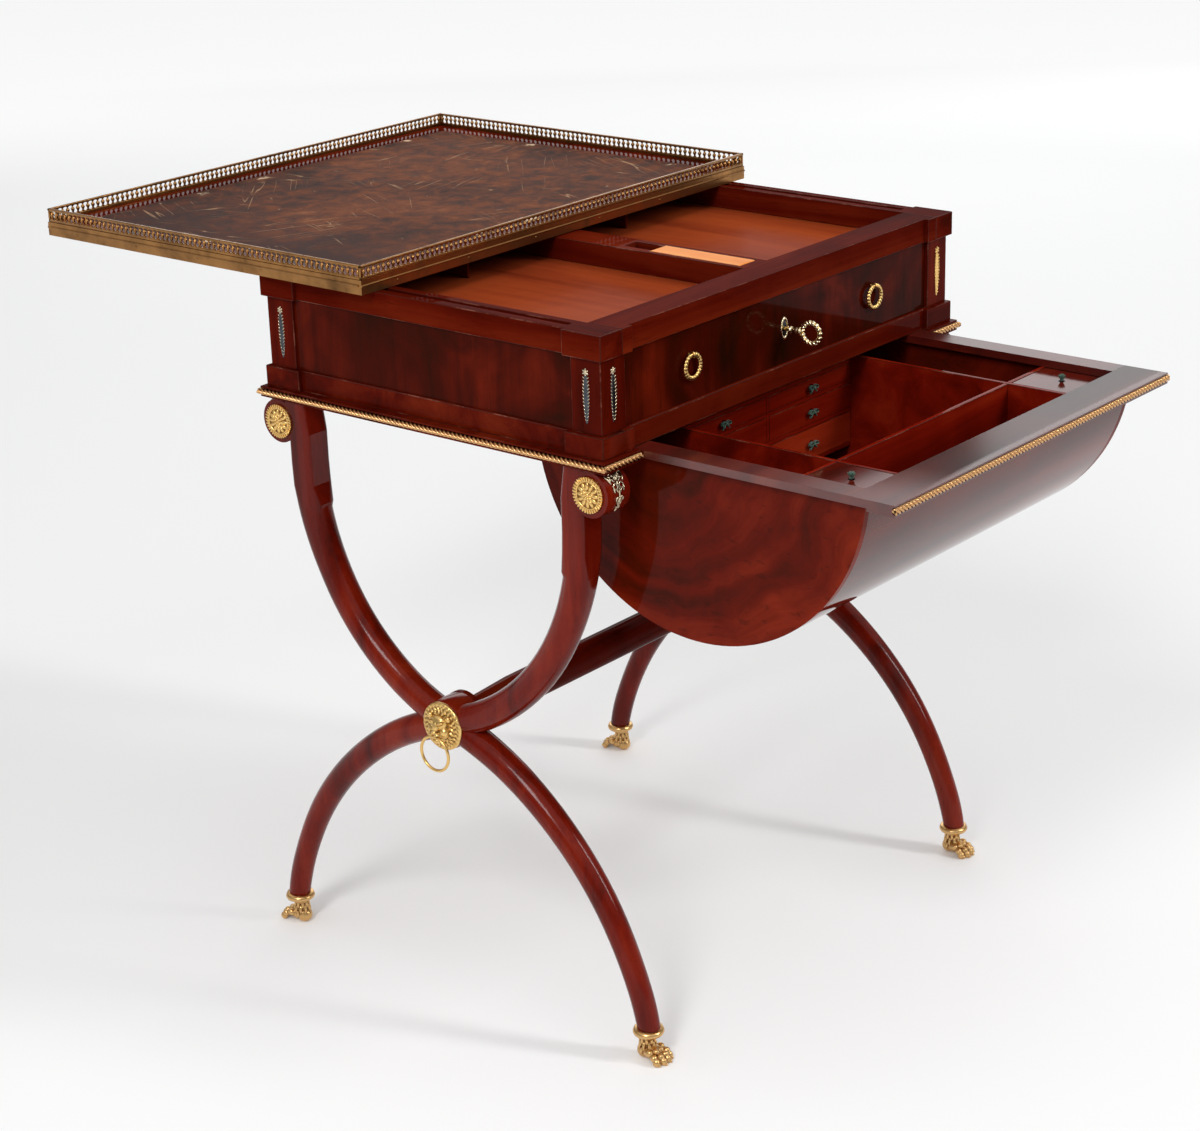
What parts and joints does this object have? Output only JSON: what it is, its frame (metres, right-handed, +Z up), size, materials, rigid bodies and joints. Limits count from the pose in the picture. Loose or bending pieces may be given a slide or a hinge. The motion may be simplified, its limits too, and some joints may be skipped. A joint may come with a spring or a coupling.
{
  "type": "campaign desk",
  "caption": "Writing table on X-shaped scroll legs with paw feet, a sliding galleried leather top over a well, a frieze drawer and a half-round box that slides out below.",
  "frame": {"origin": "on the floor, under the middle of the table's overall length and width as pictured", "axes": "+Z up, -Y to the front where the drawer and the box open, +X to the right seen from the back of the case"},
  "size_m": [0.6314, 1.0476, 0.7773],
  "materials": {
    "mahogany": "deep red-brown polished mahogany",
    "satinwood": "lighter polished wood",
    "drawer_lining": "plain planed wood",
    "gilt": "gilt bronze, worn on the high places",
    "aged_brass": "brown aged brass",
    "leather": "worn dark leather with pale scuffs",
    "steel": "filed iron and steel"
  },
  "bodies": {
    "case": {"left_front_leg": "mahogany", "right_front_leg": "mahogany", "left_back_leg": "mahogany", "right_back_leg": "mahogany", "stretcher": "mahogany", "corner_posts": "mahogany", "left_panel": "mahogany", "right_panel": "mahogany", "back_panel": "mahogany", "front_top_rail": "mahogany", "back_top_rail": "mahogany", "side_top_rails": "mahogany", "plinth": "mahogany", "base_moulding": "mahogany", "well_floor": "mahogany", "well_divider": "mahogany", "well_partitions": "mahogany", "dust_board": "drawer_lining", "drawer_runners": "drawer_lining", "box_runners": "drawer_lining", "paw_feet": "gilt", "scroll_roundels": "gilt", "scroll_palmettes": "gilt", "lion_masks": "gilt", "case_rope": "gilt", "leaf_mounts": "gilt"},
    "top": {"top_board": "mahogany", "writing_leather": "leather", "edge_band": "aged_brass", "gallery": "aged_brass", "top_runners": "drawer_lining"},
    "frieze_drawer": {"drawer_front": "mahogany", "drawer_sides": "drawer_lining", "drawer_back": "drawer_lining", "drawer_bottom": "drawer_lining", "drawer_lock": "steel", "escutcheon": "gilt", "ring_eyes": "gilt"},
    "key": {"key": "gilt"},
    "lock_bolt": {"lock_bolt": "steel"},
    "left_pull_ring": {"left_pull_ring": "gilt"},
    "right_pull_ring": {"right_pull_ring": "gilt"},
    "left_lion_ring": {"left_lion_ring": "gilt"},
    "right_lion_ring": {"right_lion_ring": "gilt"},
    "pen_lid": {"pen_lid": "satinwood"},
    "box": {"box_shell": "mahogany", "box_ends": "mahogany", "box_frame": "mahogany", "box_rope": "gilt", "box_dividers": "mahogany", "lid_ledges": "drawer_lining", "drawer_nest": "mahogany"},
    "left_lid": {"left_lid": "mahogany"},
    "right_lid": {"right_lid": "mahogany"},
    "upper_left_drawer": {"upper_left_drawer": "mahogany"},
    "middle_left_drawer": {"middle_left_drawer": "mahogany"},
    "lower_left_drawer": {"lower_left_drawer": "mahogany"},
    "upper_right_drawer": {"upper_right_drawer": "mahogany"},
    "middle_right_drawer": {"middle_right_drawer": "mahogany"},
    "lower_right_drawer": {"lower_right_drawer": "mahogany"}
  },
  "joints": [
    {"name": "top_slide", "type": "slide", "parent": "case", "child": "top", "axis": [0, 1, 0], "range_m": [-0.298, 0]},
    {"name": "box_slide", "type": "slide", "parent": "case", "child": "box", "axis": [0, -1, 0], "range_m": [-0.283, 0]},
    {"name": "frieze_drawer_slide", "type": "slide", "parent": "case", "child": "frieze_drawer", "axis": [0, -1, 0], "range_m": [0, 0.28]},
    {"name": "key_turn", "type": "hinge", "parent": "frieze_drawer", "child": "key", "pos_m": [0, -0.22385, 0.686], "axis": [0, 1, 0], "range_deg": [0, 90]},
    {"name": "bolt_lift", "type": "slide", "parent": "frieze_drawer", "child": "lock_bolt", "axis": [0, 0, 1], "range_m": [0, 0.01]},
    {"name": "pen_lid_hinge", "type": "hinge", "parent": "case", "child": "pen_lid", "pos_m": [0, -0.17735, 0.745], "axis": [1, 0, 0], "range_deg": [0, 100]},
    {"name": "left_pull_ring_hinge", "type": "hinge", "parent": "frieze_drawer", "child": "left_pull_ring", "pos_m": [-0.155, -0.22855, 0.6966], "axis": [-1, 0, 0], "range_deg": [0, 90]},
    {"name": "left_lion_ring_hinge", "type": "hinge", "parent": "case", "child": "left_lion_ring", "pos_m": [-0.3115, -0.00935, 0.2972], "axis": [0, 1, 0], "range_deg": [0, 90]},
    {"name": "left_lid_lift", "type": "slide", "parent": "box", "child": "left_lid", "axis": [0, 0, 1], "range_m": [0, 0.06]},
    {"name": "upper_left_drawer_slide", "type": "slide", "parent": "box", "child": "upper_left_drawer", "axis": [0, -1, 0], "range_m": [0, 0.08]},
    {"name": "middle_left_drawer_slide", "type": "slide", "parent": "box", "child": "middle_left_drawer", "axis": [0, -1, 0], "range_m": [0, 0.069]},
    {"name": "lower_left_drawer_slide", "type": "slide", "parent": "box", "child": "lower_left_drawer", "axis": [0, -1, 0], "range_m": [0, 0.047]},
    {"name": "right_pull_ring_hinge", "type": "hinge", "parent": "frieze_drawer", "child": "right_pull_ring", "pos_m": [0.155, -0.22855, 0.6966], "axis": [-1, 0, 0], "range_deg": [0, 90]},
    {"name": "right_lion_ring_hinge", "type": "hinge", "parent": "case", "child": "right_lion_ring", "pos_m": [0.3115, -0.00935, 0.2972], "axis": [0, -1, 0], "range_deg": [0, 90]},
    {"name": "right_lid_lift", "type": "slide", "parent": "box", "child": "right_lid", "axis": [0, 0, 1], "range_m": [0, 0.06]},
    {"name": "upper_right_drawer_slide", "type": "slide", "parent": "box", "child": "upper_right_drawer", "axis": [0, -1, 0], "range_m": [0, 0.08]},
    {"name": "middle_right_drawer_slide", "type": "slide", "parent": "box", "child": "middle_right_drawer", "axis": [0, -1, 0], "range_m": [0, 0.069]},
    {"name": "lower_right_drawer_slide", "type": "slide", "parent": "box", "child": "lower_right_drawer", "axis": [0, -1, 0], "range_m": [0, 0.047]}
  ],
  "couplings": [
    {"joint": "bolt_lift", "follows": "key_turn", "m_per_rad": 0.006366}
  ]
}
